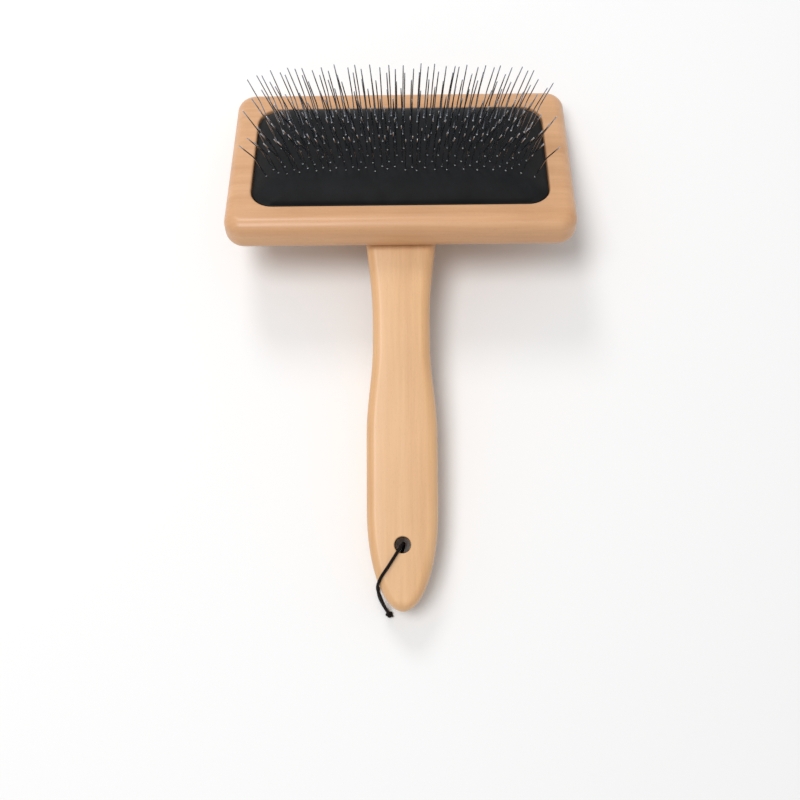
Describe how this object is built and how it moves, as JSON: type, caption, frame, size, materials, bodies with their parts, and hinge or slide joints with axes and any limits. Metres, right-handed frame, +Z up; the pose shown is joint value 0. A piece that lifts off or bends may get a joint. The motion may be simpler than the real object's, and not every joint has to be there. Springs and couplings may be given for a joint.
{
  "type": "pet slicker brush",
  "caption": "Wooden pet slicker brush with a sprung rubber cushion, bent wire pins, a rounded handle and a hanging cord.",
  "frame": {"origin": "middle of the bounding box's bottom face, on the surface the brush lies on", "axes": "+Y from the handle to the head, +Z up (the pins point up), +X to the right seen from the handle"},
  "size_m": [0.115, 0.1821, 0.051],
  "materials": {
    "wood": "satin",
    "rubber": "matte",
    "pin_wire": "satin",
    "cord": "matte",
    "cloth": "matte",
    "foam": "matte",
    "screw_steel": "satin"
  },
  "bodies": {
    "brush": {"head_block": "wood", "handle": "wood", "handle_screws": "screw_steel", "foam_cushion": "foam", "hang_cord": "cord", "cord_knot": "cord"},
    "pin_bed": {"rubber_pad": "rubber", "backing_cloth": "cloth", "staple_row_01": "pin_wire", "staple_row_02": "pin_wire", "staple_row_03": "pin_wire", "staple_row_04": "pin_wire", "staple_row_05": "pin_wire", "staple_row_06": "pin_wire", "staple_row_07": "pin_wire", "staple_row_08": "pin_wire", "staple_row_09": "pin_wire", "staple_row_10": "pin_wire", "staple_row_11": "pin_wire"}
  },
  "joints": [
    {"name": "cushion_press", "type": "slide", "parent": "brush", "child": "pin_bed", "axis": [0, -0.3845, -0.9231], "range_m": [0, 0.002], "stiffness_N_per_m": 3000, "springref_m": -0.0005, "deforming": ["foam_cushion"]}
  ]
}
